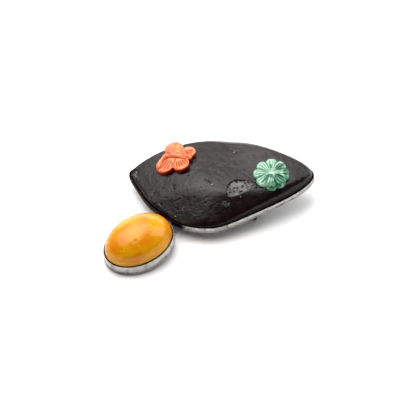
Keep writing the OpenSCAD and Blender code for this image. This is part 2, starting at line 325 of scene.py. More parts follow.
# %% A finish, while it is mixed
class Finish:
    """A material whose patterns lie on the piece and are measured in mm."""

    def __init__(self, name):
        self.material = bpy.data.materials.new(name)
        self.material.use_nodes = True
        self.tree = self.material.node_tree
        self.shader = self.tree.nodes["Principled BSDF"]
        place = flow(self.tree, "ShaderNodeTexCoord", out="Object")
        self.place = self.stretched(place, (1 / MM, 1 / MM, 1 / MM))

    def stretched(self, place, scale):
        return flow(self.tree, "ShaderNodeMapping", {"Vector": place, "Scale": scale})

    def noise(self, scale, detail=3, roughness=0.55, stretch=None):
        """Noise on the piece; scale is in bumps for each mm."""
        place = self.stretched(self.place, stretch) if stretch else self.place
        inputs = {"Vector": place, "Scale": scale, "Detail": detail, "Roughness": roughness}
        return flow(self.tree, "ShaderNodeTexNoise", inputs, out="Fac")

    def mark(self, name):
        """A value that the mesh carries for each point."""
        return flow(self.tree, "ShaderNodeAttribute", out="Fac", attribute_name=name)

    def mixed(self, looks, relief=None, deep=0):
        """Fills the shader's inputs, adds a fine relief that is deep mm high, and ends the material."""
        fill(self.shader, looks)
        if relief:
            bump = {"Height": relief, "Distance": deep * MM, "Strength": 1.0}
            fill(self.shader, {"Normal": flow(self.tree, "ShaderNodeBump", bump)})
        return self.material


# %% [markdown]
# ## The slab: its form
#
# The slab is a lump of nearly black amber, cut flat behind and ground by hand on top. It could be
# sculpted, but a written form is easier to check. The top is a low crown, and a steeper side rises to
# it from the bezel all round. Two tables say how steep the side is in each direction and how softly it
# turns into the top, which draws the ridge that runs along the front. The same rule made the solid in
# the frame, so the finer mesh lies where the solid lies.

# %% Outline and top of the slab
slab_edge = [
    (38.4, 6.8), (37.3, 9.8), (31.8, 14.3), (22.3, 19.8), (14.6, 22.3), (4.5, 23.3), (-4, 21.9),
    (-12, 19.2), (-19, 15.7), (-22.6, 13.3), (-23.9, 11.3), (-23, 8.4), (-20.7, 3.8), (-17.5, -1.8),
    (-12.6, -7), (-5.5, -12.3), (2.6, -14.1), (9, -12.9), (18.8, -8.3), (28.6, -3.1), (34, 0.6), (37.3, 4),
]
EDGE_STEPS = 33
SOFTEN = 40
SOFTEN_TURN = 12
SLAB_HUB = np.array([7.0, 4.0])
RIM_Z = 1.6
TOE_H = 0.5
TOE_W = 0.2
CREST_Z = 7.9
CROWN_AT = (6, -3)
CROWN_LEFT = 0.0036
CROWN_RIGHT = 0.003
CROWN_BACK = 0.0018
LEAN_AT = (8, 4)
LEAN_L = 16
CROWN_LEAN = 0.1
# Broad facets: a point of each, the level direction up it, its slope, and how softly it meets the top
LEFT_FACET = (-18, -1, 2.3, 0.92, 0.39, 0.45, 3.2)
front_facets = [
    (-3, -3.2, 7.0, 0.56, 0.83, 0.63, 0.9),
    (2, -4.2, 8.05, 0.13, 0.99, 0.54, 0.9),
    (14, -2.9, 8.0, -0.35, 0.937, 0.63, 1.0),
]
# The ridge swells: how high, where, how long, and how far behind it the swelling ends
SWELL = 1.2
SWELL_AT = (-3, -3)
SWELL_L = 15
SWELL_W = 25
# Direction from the hub in degrees, and how steeply the side rises there
side_slopes = [
    (-180, 1.6), (-165, 1.5), (-150, 1.3), (-128, 0.9), (-104, 0.75), (-75, 0.75), (-50, 0.66),
    (-30, 0.68), (-10, 1.1), (5, 2.2), (25, 2.2), (60, 1.8), (90, 1.9), (120, 2.6), (150, 3.5),
    (165, 4.5), (180, 1.6),
]
# The same directions again: how high the steep foot of the side is there
side_feet = [
    (-180, 0.3), (-125, 0.3), (-108, 0.4), (-90, 1.2), (-72, 1.7), (-52, 3.4), (-30, 3.6), (-10, 2.6),
    (5, 1.2), (25, 0), (180, 0.3),
]
FOOT_W = 0.8
# Direction from the hub in degrees, and how softly the side turns into the top there
side_blends = [
    (-180, 0.7), (-150, 0.8), (-120, 1.2), (-75, 1.2), (-50, 1.2), (-20, 1.6), (10, 2.6), (40, 4.2),
    (80, 4.4), (110, 3), (150, 1), (170, 0.7), (180, 0.7),
]
print("the outline has", len(slab_edge), "points, and", EDGE_STEPS, "steps between each two")

# %% Rule of the slab's top
slab_outline = closed_curve(slab_edge, EDGE_STEPS)
stone_outline = inset(slab_outline, WALL + STONE_GAP)
spokes = stone_outline - SLAB_HUB
spoke_turn = np.degrees(np.arctan2(spokes[:, 1], spokes[:, 0]))
spoke_order = np.argsort(spoke_turn)
spoke_reach = np.linalg.norm(spokes, axis=1)[spoke_order]
spoke_depth = (spokes * outward(stone_outline)).sum(1)[spoke_order]
spoke_depth = np.mean([np.roll(spoke_depth, shift) for shift in range(-SOFTEN, SOFTEN + 1)], 0)
spoke_turn = spoke_turn[spoke_order]


def in_from_rim(x, y):
    """Distance in from the rim of the stone, in mm, and the direction from the hub in degrees."""
    turn = np.degrees(np.arctan2(y - SLAB_HUB[1], x - SLAB_HUB[0]))
    out = np.hypot(x - SLAB_HUB[0], y - SLAB_HUB[1]) / np.interp(turn, spoke_turn, spoke_reach, period=360)
    return np.maximum(1 - out, 0) * np.interp(turn, spoke_turn, spoke_depth, period=360), turn


def facet(x, y, spot):
    """Height of a broad facet."""
    at_x, at_y, at_z, way_x, way_y, slope, _ = spot
    return at_z + slope * ((x - at_x) * way_x + (y - at_y) * way_y)


def slab_crown(x, y):
    fall = np.where(x < CROWN_AT[0], CROWN_LEFT, CROWN_RIGHT) * (x - CROWN_AT[0]) ** 2
    fall = fall + CROWN_BACK * np.maximum(y - CROWN_AT[1], 0) ** 2
    swell = bell(x - SWELL_AT[0], SWELL_L) * (1 - ease((y - SWELL_AT[1]) / SWELL_W))
    lean = CROWN_LEAN * ease((x - LEAN_AT[0]) / LEAN_L) * (y - LEAN_AT[1])
    return smooth_min(CREST_Z - fall + SWELL * swell + lean, facet(x, y, LEFT_FACET), LEFT_FACET[6])


def around(table, turn):
    """A value from a table of directions, softened between its entries."""
    return sum(np.interp(turn + step, *zip(*table)) for step in (-SOFTEN_TURN, 0, SOFTEN_TURN)) / 3


def slab_plain(x, y):
    """Height of the slab's top before anything is broken out of it."""
    inside, turn = in_from_rim(x, y)
    side = RIM_Z + TOE_H * (1 - np.exp(-inside / TOE_W)) + around(side_slopes, turn) * inside
    side = side + around(side_feet, turn) * (1 - np.exp(-inside / FOOT_W))
    top = slab_crown(x, y)
    for spot in front_facets:
        top = smooth_min(top, facet(x, y, spot), spot[6])
    return smooth_min(side, top, around(side_blends, turn))


print("the slab's crest is", round(float(slab_plain(6, -1)), 2), "mm over the back of its plate")

# %% [markdown]
# ## The slab: what time did to it
#
# Amber is brittle. A flake has come off the ridge next to the flower and left a shallow scar, with a
# ragged lip painted dark as shade and a floor of small shells, which is how amber breaks. The left tip
# is chipped, its edge is crumbled, a patch at the front is scuffed, and the left half is peppered with
# nicks and pits. The stone is also worn back from its bezel all the way round, and the seam there is
# painted dark as shade. Sculpting or a displacement picture would do, but a table of nicks, each with
# its place, size, turn and depth, keeps every mark in its right place. A nick is deep along one side
# and runs out on the other.

# %% Scar, chips and nicks
# Where the flake came off: from left to right, x and the front and back edge of the scar
scar_edges = [
    (9.3, -3.2, -2.8), (9.8, -4.9, -0.9), (10.6, -5.1, 0.1), (12, -4.8, 1.3), (14, -4, 1.5),
    (16, -2.9, 1.4), (18, -2.2, 0.9), (20, -1.6, 0.3), (21.6, -0.7, -0.5),
]
# A point of its floor, and how the floor leans
SCAR_FLOOR = (13, -1, 7.5)
SCAR_TILT = (-0.07, 0.12)
SHELLS = 90
SHELL_DEEP = 0.45
# Middle x and y, half length, half width, turn in degrees, depth: all in mm
nicks = [
    (3.2, 0.8, 1.7, 0.45, -44, 0.35), (-16.6, 2.2, 0.7, 0.3, 20, 0.16), (-12.2, 1.4, 0.8, 0.45, 35, 0.2),
    (-15.2, 0.2, 0.45, 0.8, 10, 0.18), (-8.1, 1.2, 0.75, 0.5, 40, 0.2), (-8.3, 0.1, 0.5, 0.35, -20, 0.14),
    (-5.3, 0.4, 0.45, 0.35, 10, 0.16), (-1.2, 10.5, 0.55, 0.4, 60, 0.14), (-0.1, 6.8, 0.7, 0.5, 30, 0.16),
    (0.9, -1.8, 0.6, 0.35, 80, 0.2), (-5.5, -6.7, 0.75, 0.35, -60, 0.2), (-7.6, -8.2, 0.5, 0.35, 60, 0.14),
    (-14.9, -3.2, 0.7, 0.4, 25, 0.2), (-12.8, -4, 0.55, 0.4, -35, 0.2), (-13.7, -4.7, 0.6, 0.35, 20, 0.22),
    (-7.4, -4.0, 1.0, 0.3, 15, 0.16), (-4.3, -9.4, 0.5, 0.3, 50, 0.12), (-0.4, -10.7, 0.5, 0.3, -30, 0.1),
    (-11.0, -2.4, 0.6, 0.35, -10, 0.16), (-3.6, 4.4, 0.6, 0.3, -35, 0.12), (6.8, 4.1, 0.4, 0.35, 0, 0.16),
    (8.5, 3.1, 0.35, 0.3, 30, 0.16), (32.1, 9.2, 0.35, 0.3, 0, 0.2), (5.2, 9.5, 0.4, 0.3, 50, 0.12),
    (8.9, -6.4, 0.5, 0.3, 40, 0.14), (9.9, -6.8, 0.5, 0.3, -30, 0.14), (11.9, 14.0, 0.4, 0.3, 30, 0.12),
    (-16.2, -0.9, 0.5, 0.35, 60, 0.18), (-11.6, 3.6, 0.5, 0.3, 0, 0.12), (-18.2, 4.4, 0.5, 0.3, -30, 0.12),
]
# Many tiny pits on the left half, strewn at random
PITS = 130
luck = np.random.default_rng(3)
pits = luck.uniform((-19, -9.5, 0.22, 0.2, 0, 0.05), (6, 7, 0.5, 0.32, 180, 0.13), (PITS, 6))
# Pale specks of dust and wear: x, y and radius in mm
specks = [
    (13.9, -4.9, 0.14), (11.9, 13.8, 0.16), (10.8, 15.4, 0.12), (-5.2, -6.4, 0.14), (4.6, -0.7, 0.16),
    (-7.9, -8.5, 0.12), (0.9, -2.0, 0.12), (-13.3, -3.4, 0.12),
]
# The chip at the left tip and the scuffed patch: middle, half length and half width, turn, and depth
TIP_CHIP = ((-22.0, 10.2), (1.5, 2.1), radians(-20))
TIP_CHIP_DEEP = 0.45
SCUFF = ((8.9, -6.9), (1.7, 1.1), radians(-15))
SCUFF_DEEP = 0.18
CRUMBLED_W = 1.3
# The stone is worn back from its bezel, and the seam is painted dark as shade
SEAM_W = 0.45
SEAM_DEEP = 0.5
print(len(nicks), "nicks,", len(pits), "tiny pits and", len(specks), "specks of dust")

# %% Rule of what is broken out
def local(x, y, middle, half, turn):
    """Coordinates across an oval mark, which reach 1 at its edge."""
    u = (x - middle[0]) * cos(turn) + (y - middle[1]) * sin(turn)
    v = (y - middle[1]) * cos(turn) - (x - middle[0]) * sin(turn)
    return u / half[0], v / half[1]


def scar(x, y, plain):
    """Depth of the flake's scar under the plain top, how much a point belongs to it, and its lip, where
    shade is painted.
    """
    edge_x, front, back = np.array(scar_edges).T
    inwards = np.minimum(y - np.interp(x, edge_x, front), np.interp(x, edge_x, back) - y)
    inwards = np.where((x > edge_x[0]) & (x < edge_x[-1]), inwards, -1)
    inwards = inwards + 0.3 * bumps(x, y, 1.3, 3.0) + 0.12 * bumps(x, y, 0.5, 4.0)
    inside = ease(inwards / 0.25)
    floor = SCAR_FLOOR[2] + SCAR_TILT[0] * (x - SCAR_FLOOR[0]) + SCAR_TILT[1] * (y - SCAR_FLOOR[1])
    luck = np.random.default_rng(7)
    shells = np.full(len(x), np.inf)
    for _ in range(SHELLS):
        at_x, at_y, lift, curl = luck.uniform((9, -5, 0, 0.5), (21, 2, 0.3, 1.4))
        shells = np.minimum(shells, lift + curl * ((x - at_x) ** 2 + (y - at_y) ** 2))
    depth = (np.clip(plain - floor, 0.1, 0.5) + SHELL_DEEP - np.minimum(shells, SHELL_DEEP)) * inside
    lip = 4 * inside * (1 - inside)
    return depth, inside * ease(depth / 0.2), lip


def slab_relief(x, y):
    """Everything that lies below the plain top, and the marks that the finish needs."""
    plain = slab_plain(x, y)
    inside, turn = in_from_rim(x, y)
    depth, broken, lip = scar(x, y, plain)
    for middle_x, middle_y, half_l, half_w, angle, deep in [*nicks, *pits]:
        u, v = local(x, y, (middle_x, middle_y), (half_l, half_w), radians(angle))
        dent = np.clip(1 - u * u - v * v, 0, 1)
        depth = depth + deep * np.sqrt(dent) * (0.55 + 0.45 * np.tanh(3 * v))
    left = ease((-16 - x) / 4)
    crumble = left * ease(1 - inside / CRUMBLED_W) * (y < 12)
    depth = depth + crumble * (0.16 + 0.3 * np.abs(bumps(x, y, 0.7, 21.0)))
    u, v = local(x, y, *TIP_CHIP)
    chip = ease((1 - np.hypot(u, v)) / 0.25)
    depth = depth + chip * (TIP_CHIP_DEEP + 0.25 * bumps(x, y, 0.9, 5.0))
    broken = np.maximum(broken, np.maximum(chip, 0.7 * crumble))
    u, v = local(x, y, *SCUFF)
    scuff = ease(1.3 - np.hypot(u, v)) * ease(3 * bumps(x, y, 0.45, 9.0))
    depth = depth + SCUFF_DEEP * scuff
    broken = np.maximum(broken, scuff)
    handmade = 0.08 * bumps(x, y, 5.5, 11.0) + 0.03 * bumps(x, y, 1.7, 13.0)
    depth = depth + SEAM_DEEP * (1 - ease(inside / SEAM_W))
    dust = np.zeros(len(x))
    for speck_x, speck_y, radius in specks:
        dust = np.maximum(dust, bell(np.hypot(x - speck_x, y - speck_y), radius))
    # Painted shade: dark in the seam at the bezel and along the scar's lip
    dark = np.maximum(1 - ease(inside / (1.6 * SEAM_W)), 0.9 * lip)
    marks = {"broken": broken, "dust": dust, "crumbled": crumble, "seam": dark}
    return depth - handmade * ease(inside / 1.5), marks


# %% [markdown]
# ## The slab: its finish
#
# The stone is almost black, with a brown cast where light gets a little way in. Its skin is satin: hand
# polished once, and dulled since. So the roughness is uneven, the scar, the chips and the scuff are
# glossier than the skin, with a paler colour that is a painted reflection, and the grain of old wear is
# a fine bump. The seam at the bezel and the scar's lip are painted near black and without sheen:
# painted shade.

# %% Material of the dark amber
# How much of the room the whole skin mirrors, where no crack or painted shade changes it
SHINE = 0.27


def dark_amber_finish():
    finish = Finish("dark_amber")
    cloud = finish.noise(0.09, 4)
    pores = finish.noise(2.6, 4, 0.65)
    leather = pores * 0.35 + finish.noise(0.8, 5, 0.6)
    haze = finish.noise(0.35, 5, 0.6)
    broken = finish.mark("broken")
    # The seam mark is painted shade: near black and without sheen in the seam at the bezel and on the
    # scar's lip
    seam = finish.mark("seam")
    base = blend(spread(cloud, 0.35, 0.65), (0.004, 0.0011, 0.001, 1), (0.0075, 0.002, 0.0018, 1))
    # Broken stone is painted paler: a painted reflection of its glossy facets
    base = blend(broken * 0.35, base, (0.08, 0.072, 0.072, 1))
    olive = finish.mark("crumbled") * spread(pores, 0.5, 0.62)
    base = blend(olive, base, (0.09, 0.085, 0.04, 1))
    base = blend(finish.mark("dust"), base, (0.42, 0.38, 0.32, 1))
    fill(finish.shader, {"Specular IOR Level": SHINE})
    looks = {
        "Base Color": blend(seam, base, (0.003, 0.002, 0.0015, 1)),
        "Specular IOR Level": broken * 0.24 + spread(seam, 0.0, 1.0, SHINE, 0.02),
        "Roughness": broken * -0.17 + spread(haze, 0.3, 0.7, 0.19, 0.29),
        "IOR": 1.54,
    }
    return finish.mixed(looks, leather, 0.11)


dark_amber = dark_amber_finish()

# %% [markdown]
# The mesh is a fan: spokes from a hub inside the slab out to its rim, and rings across them. The rings
# crowd towards the rim, where the side is steep.

# %% Slab mesh
SLAB_RINGS = 112
CROWDING = 1.25


def slab_mesh():
    share = 1 - (np.arange(SLAB_RINGS) / SLAB_RINGS) ** CROWDING
    plan = SLAB_HUB + spokes * share[:, None, None]
    x = plan[:, :, 0].ravel()
    y = plan[:, :, 1].ravel()
    depth, marks = slab_relief(x, y)
    z = slab_plain(x, y) - depth
    tops = np.column_stack([x, y, z]).reshape(SLAB_RINGS, -1, 3)
    rim = stone_outline
    rings = [at_height(inset(rim, 0.3), PLATE + STONE_GAP), at_height(rim, PLATE + STONE_GAP + 0.25)]
    count = len(rim)
    low = (*SLAB_HUB, PLATE + STONE_GAP)
    high = (*SLAB_HUB, float(slab_plain(*SLAB_HUB)))
    points, faces = skin(rings + list(tops), low, high)
    for name, values in marks.items():
        marks[name] = np.concatenate([np.zeros(2 * count), values, np.zeros(2)])
    return piece("slab_stone_carved", points, faces, dark_amber, marks, sharp=60)


slab = slab_mesh()
finished(slab, "slab_stone")

# %% [markdown]
# ## Geometry Nodes, run once
#
# The next pieces follow a rule: a dome, a strip bent round an outline, a ring of petals. Geometry Nodes
# suit them, because the rule stays readable and its sizes are named inputs that can be changed. Each
# tree is built here, run on an object, and its result kept as a plain mesh. The trees work in the
# brooch's frame, in millimetres, so the mesh is laid on the table afterwards.

# %% Helpers for trees that make a mesh
# Points closer than this become one, in mm
WELD = 0.0005


def new_tree(name, sizes):
    """A Geometry Nodes tree with named inputs; returns it, what flows in at each, and its end."""
    tree = bpy.data.node_groups.new(name, "GeometryNodeTree")
    tree.interface.new_socket("Geometry", in_out="INPUT", socket_type="NodeSocketGeometry")
    for label, value in sizes.items():
        kind = "NodeSocketInt" if isinstance(value, int) else "NodeSocketFloat"
        tree.interface.new_socket(label, in_out="INPUT", socket_type=kind).default_value = value
    tree.interface.new_socket("Geometry", in_out="OUTPUT", socket_type="NodeSocketGeometry")
    inputs = tree.nodes.new("NodeGroupInput").outputs
    size = {label: Flow(inputs[label]) for label in ["Geometry", *sizes]}
    return tree, size, tree.nodes.new("NodeGroupOutput")


def close_tree(form, material, end):
    """Every tree ends the same way: weld the seams, make instances real, set the material."""
    form = flow(form.tree, "GeometryNodeMergeByDistance", {"Geometry": form, "Distance": WELD})
    form = flow(form.tree, "GeometryNodeRealizeInstances", {"Geometry": form})
    form = flow(form.tree, "GeometryNodeSetMaterial", {"Geometry": form, "Material": material})
    fill(end, {0: form})


def baked(made):
    """The object with what its modifiers make as its plain mesh."""
    graph = bpy.context.evaluated_depsgraph_get()
    mesh = bpy.data.meshes.new_from_object(made.evaluated_get(graph))
    made.modifiers.clear()
    made.data = mesh
    return made


def grow(name, tree, sizes, start=None):
    """Runs a tree on an object and keeps the result as its plain mesh."""
    made = new_object(name, start or bpy.data.meshes.new(name))
    modifier = made.modifiers.new("rule", "NODES")
    modifier.node_group = tree
    for item in tree.interface.items_tree:
        if item.in_out == "INPUT" and item.name in sizes:
            modifier[item.identifier] = sizes[item.name]
    return baked(made)


def points_of(made):
    points = np.zeros(len(made.data.vertices) * 3)
    made.data.vertices.foreach_get("co", points)
    return points.reshape(-1, 3)


def settle(made, points, marks, sharp=40):
    """Lays a grown piece on the table, with faces outwards, smooth shading and its marks."""
    mesh = made.data
    mesh.vertices.foreach_set("co", laid(points).ravel())
    shell = bmesh.new()
    shell.from_mesh(mesh)
    bmesh.ops.recalc_face_normals(shell, faces=shell.faces)
    shell.to_mesh(mesh)
    shell.free()
    smoothed(made, marks, sharp)


# %% Helpers that wrap a grid round a stone
def polar_grid(tree, around, across):
    """A grid, its X as a turn round the middle, and its Y as the way from the base's middle to the top."""
    sizes = {"Size X": 1, "Size Y": 1, "Vertices X": around + 1, "Vertices Y": across}
    x, y, _ = split(flow(tree, "GeometryNodeInputPosition"))
    return flow(tree, "GeometryNodeMeshGrid", sizes), (x + 0.5) * (2 * pi), y + 0.5


def stretch(value, start, end):
    """0 before start, 1 after end, and straight between them."""
    return calc("DIVIDE", value - start, end - start, clamp=True)


def quarter(value, start):
    """Cosine of a quarter turn that is made between start and 1: it falls from 1 to 0."""
    return calc("COSINE", stretch(value, start, 1.0) * (pi / 2))


def moved(form, place):
    return flow(form.tree, "GeometryNodeSetPosition", {"Geometry": form, "Position": place})


def round_place(reach_x, reach_y, turn, z):
    """A place round the middle, at its reach along X and Y."""
    inputs = {0: reach_x * calc("COSINE", turn), 1: reach_y * calc("SINE", turn), 2: z}
    return flow(z.tree, "ShaderNodeCombineXYZ", inputs)


# %% [markdown]
# ## The cabochon: its form
#
# A cabochon is ground flat below, straight at the side and domed on top. This one is a calibrated
# oval, 24 by 18 mm. A scaled sphere would be too pointed at the side, so the dome's section is a
# superellipse, whose power makes it fuller than a circle. The tree wraps a grid round the stone: one
# direction of the grid is the turn, the other climbs from the base over the side to the top.

# %% Cabochon tree
CAB_DOME_H = 8.2
CAB_SIDE_Z = CAB_WALL_H - 0.3
RIM_SHOWS = 0.1
BASE_ENDS = 0.06
SIDE_ENDS = 0.14

cabochon_sizes = {
    "Length": CAB_L - 2 * RIM_SHOWS,
    "Width": CAB_W - 2 * RIM_SHOWS,
    "Foot": PLATE + STONE_GAP,
    "Side Top": CAB_SIDE_Z,
    "Dome Height": CAB_DOME_H,
    "Dome Power": 2.2,
}


def cabochon_tree(material):
    tree, size, end = new_tree("cabochon", cabochon_sizes)
    grid, turn, climb = polar_grid(tree, 256, 150)
    base = stretch(climb, 0.0, BASE_ENDS)
    side = stretch(climb, BASE_ENDS, SIDE_ENDS)
    out = quarter(climb, SIDE_ENDS)
    full = calc("SUBTRACT", 1.0, out ** size["Dome Power"], clamp=True)
    rise = full ** (1.0 / size["Dome Power"])
    reach = base * out * 0.5
    z = side * (size["Side Top"] - size["Foot"]) + size["Foot"] + rise * size["Dome Height"]
    place = round_place(reach * size["Length"], reach * size["Width"], turn, z)
    close_tree(moved(grid, place), material, end)
    return tree


# %% [markdown]
# ## The cabochon: its finish
#
# Butterscotch amber is cloudy inside: light goes in, scatters a few millimetres and comes back yellow,
# while the shaded side stays a deep orange. Subsurface scattering does that. Soft clouds vary the
# colour, the polish is high but not perfect, and painted shade darkens a line where the stone meets
# its bezel and the pits in its polish.

# %% Material of the golden amber
def lit_inside(ior, weight, colour, depth):
    """The looks of a stone that light goes into, some mm deep, and leaves in a colour."""
    inside = {"Subsurface Weight": weight, "Subsurface Radius": colour, "Subsurface Scale": depth * MM}
    return {"IOR": ior} | inside


def golden_amber_finish():
    finish = Finish("golden_amber")
    clouds = finish.noise(0.16, 4, 0.55, stretch=(1, 1, 1.6))
    skin_noise = finish.noise(1.4, 4, 0.6)
    # Painted shade: dark where the stone meets its bezel and in its pits
    bezel_and_pit_shade = finish.mark("bezel_and_pit_shade")
    warm = blend(spread(clouds, 0.36, 0.64), (0.66, 0.225, 0.0008, 1), (0.72, 0.32, 0.0025, 1))
    looks = {
        "Base Color": blend(bezel_and_pit_shade, warm, (0.03, 0.004, 0.002, 1)),
        "Roughness": bezel_and_pit_shade * 0.4 + spread(skin_noise, 0.3, 0.7, 0.1, 0.16),
        "Specular IOR Level": 0.28,
    }
    return finish.mixed(looks | lit_inside(1.54, 0.5, (1.0, 0.42, 0.06), 2.0), skin_noise, 0.006)


golden_amber = golden_amber_finish()

# %% Cabochon
# Little pits and dents in the polish: x, y, radius and depth in mm, in the stone's own frame
polish_pits = [
    (-7.9, -3.0, 0.22, 0.14), (-7.0, -4.1, 0.2, 0.12), (-3.0, -3.9, 0.45, 0.12), (-4.4, -3.7, 0.3, 0.07),
    (-6.2, -3.9, 0.16, 0.07), (-5.6, -4.05, 0.15, 0.07), (-5, -4.2, 0.15, 0.06), (-3.4, -4.5, 0.15, 0.06),
]


def cabochon():
    made = grow("amber_cabochon_polished", cabochon_tree(golden_amber), cabochon_sizes)
    x, y, z = points_of(made).T
    sink = -0.02 * bumps(x, y, 3.0, 31.0)
    # Painted shade: the stone is dark where it meets its bezel, and in each pit
    bezel_and_pit_shade = 1 - ease((z - CAB_WALL_H - 0.12) / 0.2)
    for pit_x, pit_y, radius, deep in polish_pits:
        pit = deep * bell(np.hypot(x - pit_x, y - pit_y), radius)
        sink = sink + pit
        bezel_and_pit_shade = np.maximum(bezel_and_pit_shade, 3 * pit)
    x, y = turned(x, y, CAB_TURN, CAB_MIDDLE)
    settle(made, np.column_stack([x, y, z - sink * ease(z - CAB_WALL_H)]), {"bezel_and_pit_shade": bezel_and_pit_shade})
    finished(made, "amber_cabochon")


cabochon()

# %% [markdown]
# ## The silver: its finish
#
# Hand-made bezels are soft silver: bright where fingers and cloth reach them, brown and grey where
# they don't. The metal's own colour and a tarnish layer are mixed by a mask, which also carries painted
# shade towards the foot of each bezel and on the hinge and catch. A second mask paints near black:
# painted shade on the inner side of each bezel's rim, on the bridge, beside it and on the hinge and
# catch, and the black left side of the slab's setting. The mesh gives the masks their large shape, such
# as the whole left side of the slab's bezel, and noise breaks up the tarnish.

# %% Material of the silver
def silver_finish():
    finish = Finish("silver")
    blotches = finish.noise(0.5, 5, 0.62)
    marks_of_file = finish.noise(1.2, 3, 0.6, stretch=(1, 1, 7))
    # Near black: painted shade on the rims, the bridge, beside it and on the hinge and catch, and the black
    # left side of the slab's setting
    shade_and_black = finish.mark("shade_and_black")
    patches = spread(blotches, 0.48, 0.75, -0.1, 0.35)
    # Tarnish in patches, with painted shade towards the foot of the walls and on the hinge and catch
    tarnish_and_shade = calc("ADD", finish.mark("tarnish_and_shade"), patches, clamp=True)
    base = blend(tarnish_and_shade, (0.6, 0.585, 0.565, 1), (0.05, 0.04, 0.034, 1))
    rough = tarnish_and_shade * 0.16 + spread(marks_of_file, 0.3, 0.7, 0.22, 0.36)
    looks = {
        "Base Color": blend(shade_and_black, base, (0.01, 0.005, 0.004, 1)),
        "Metallic": 1.0,
        "Roughness": shade_and_black * 0.3 + rough,
    }
    return finish.mixed(looks, marks_of_file + blotches, 0.02)


silver = silver_finish()

# %% [markdown]
# ## The bezels
#
# A bezel is a strip of thin sheet bent round the stone, soldered to the back plate, and rubbed over
# the stone's edge with a burnisher. The rubbing leaves its top edge rounded, slightly wavy and leaning
# in. In the tree a section runs along the outline. Each point of the sweep remembers its place on the
# path and its place in the section, so the lean and the waver are simple sums.

# %% Bezel tree
BEZEL_STEP = 0.25
bezel_sizes = {
    "Wall": WALL,
    "Foot": PLATE,
    "Top": SLAB_WALL_H,
    "Rounding": 0.12,
    "Lean": 0.08,
    "Waver": 0.07,
    "Seed": 4,
}


def remembered(curve, name):
    """A curve whose points keep note of where they are now; returns it and those places."""
    note = add(curve.tree, "GeometryNodeCaptureAttribute")
    note.capture_items.new("VECTOR", name)
    fill(note, {0: curve, 1: flow(curve.tree, "GeometryNodeInputPosition")})
    return Flow(note.outputs[0]), Flow(note.outputs[1])


def shifted(place, way):
    return flow(place.tree, "ShaderNodeVectorMath", {0: place, 1: way}, operation="ADD")


def bezel_tree(material):
    tree, size, end = new_tree("bezel", bezel_sizes)
    height = size["Top"] - size["Foot"]
    path = flow(tree, "GeometryNodeMeshToCurve", {"Mesh": size["Geometry"]})
    path = flow(tree, "GeometryNodeResampleCurve", {"Curve": path, "Length": BEZEL_STEP}, mode="LENGTH")
    path, on_path = remembered(path, "place")
    strip = {"Width": size["Wall"], "Height": height}
    section = flow(tree, "GeometryNodeCurvePrimitiveQuadrilateral", strip)
    rounded = {"Curve": section, "Radius": size["Rounding"], "Count": 4}
    section = flow(tree, "GeometryNodeFilletCurve", rounded, mode="POLY")
    section = flow(tree, "GeometryNodeSubdivideCurve", {"Curve": section, "Cuts": 2})
    section, on_section = remembered(section, "section")
    wall = flow(tree, "GeometryNodeCurveToMesh", {"Curve": path, "Profile Curve": section})
    across, climb, _ = split(on_section)
    climb = calc("ADD", climb / height, 0.5, clamp=True)
    bend = stretch(climb, 0.45, 1.0)
    wobble = {"Vector": on_path, "W": size["Seed"], "Scale": 0.22, "Detail": 3.0}
    waver = flow(tree, "ShaderNodeTexNoise", wobble, out="Fac", noise_dimensions="4D")
    waver = (waver - 0.5) * size["Waver"]
    out = across + size["Wall"] * -0.5 - bend * (size["Lean"] + waver)
    way_out = flow(tree, "GeometryNodeInputNamedAttribute", {"Name": "outwards"}, data_type="FLOAT_VECTOR")
    outwards = flow(tree, "ShaderNodeVectorMath", {0: way_out, "Scale": out}, operation="SCALE")
    lift = size["Foot"] + climb * height - bend * calc("ABSOLUTE", waver)
    upwards = flow(tree, "ShaderNodeCombineXYZ", {2: lift})
    wall = moved(wall, shifted(shifted(on_path, outwards), upwards))
    noted = {"Geometry": wall, "Name": "across", "Value": across / size["Wall"] + 0.5}
    wall = flow(tree, "GeometryNodeStoreNamedAttribute", noted, data_type="FLOAT", domain="POINT")
    close_tree(wall, material, end)
    return tree


# %% Bezels
# Painted shade fills the seam at the stone and covers this share of the rim, from its inner side
RIM_SHADE_TO = 0.58
# Left of this the slab's setting is black
BLACK_LEFT_OF = -5.0
BRIDGE_AT = (-12.1, -9.1)


def oval(half_l, half_w, count):
    """The outline of an oval stone, turned and placed as the cabochon is."""
    a = np.arange(count) * 2 * pi / count
    return np.column_stack(turned(half_l * np.cos(a), half_w * np.sin(a), CAB_TURN, CAB_MIDDLE))


def loop_of(name, outline):
    """A closed line of edges round an outline, which knows which way is out."""
    line = bpy.data.meshes.new(name)
    count = len(outline)
    edges = [(i, (i + 1) % count) for i in range(count)]
    line.from_pydata(at_height(outline, 0).tolist(), edges, [])
    layer = line.attributes.new("outwards", "FLOAT_VECTOR", "POINT")
    layer.data.foreach_set("vector", at_height(outward(outline), 0).ravel())
    return line


def bezel(name, tree, outline, sizes, tarnish_and_shade):
    made = grow(name, tree, bezel_sizes | sizes, loop_of(name, outline))
    points = points_of(made)
    x, y, z = points.T
    across = np.zeros(len(points))
    made.data.attributes["across"].data.foreach_get("value", across)
    # Painted shade on the inner side of the rim, next to the stone
    inner = (1 - ease((across - RIM_SHADE_TO) / 0.2)) * ease((z - sizes["Top"] + 0.5) / 0.2)
    dimmed, dark = tarnish_and_shade(x, y, z)
    settle(made, points, {"tarnish_and_shade": dimmed, "shade_and_black": np.maximum(inner, dark)}, sharp=50)
    finished(made, "setting")


# Painted shade: how near a point is to the bridge, where the silver is darkened
def near_bridge(x, y, reach):
    return 1 - ease((np.hypot(x - BRIDGE_AT[0], y - BRIDGE_AT[1]) - reach) / 1.5)


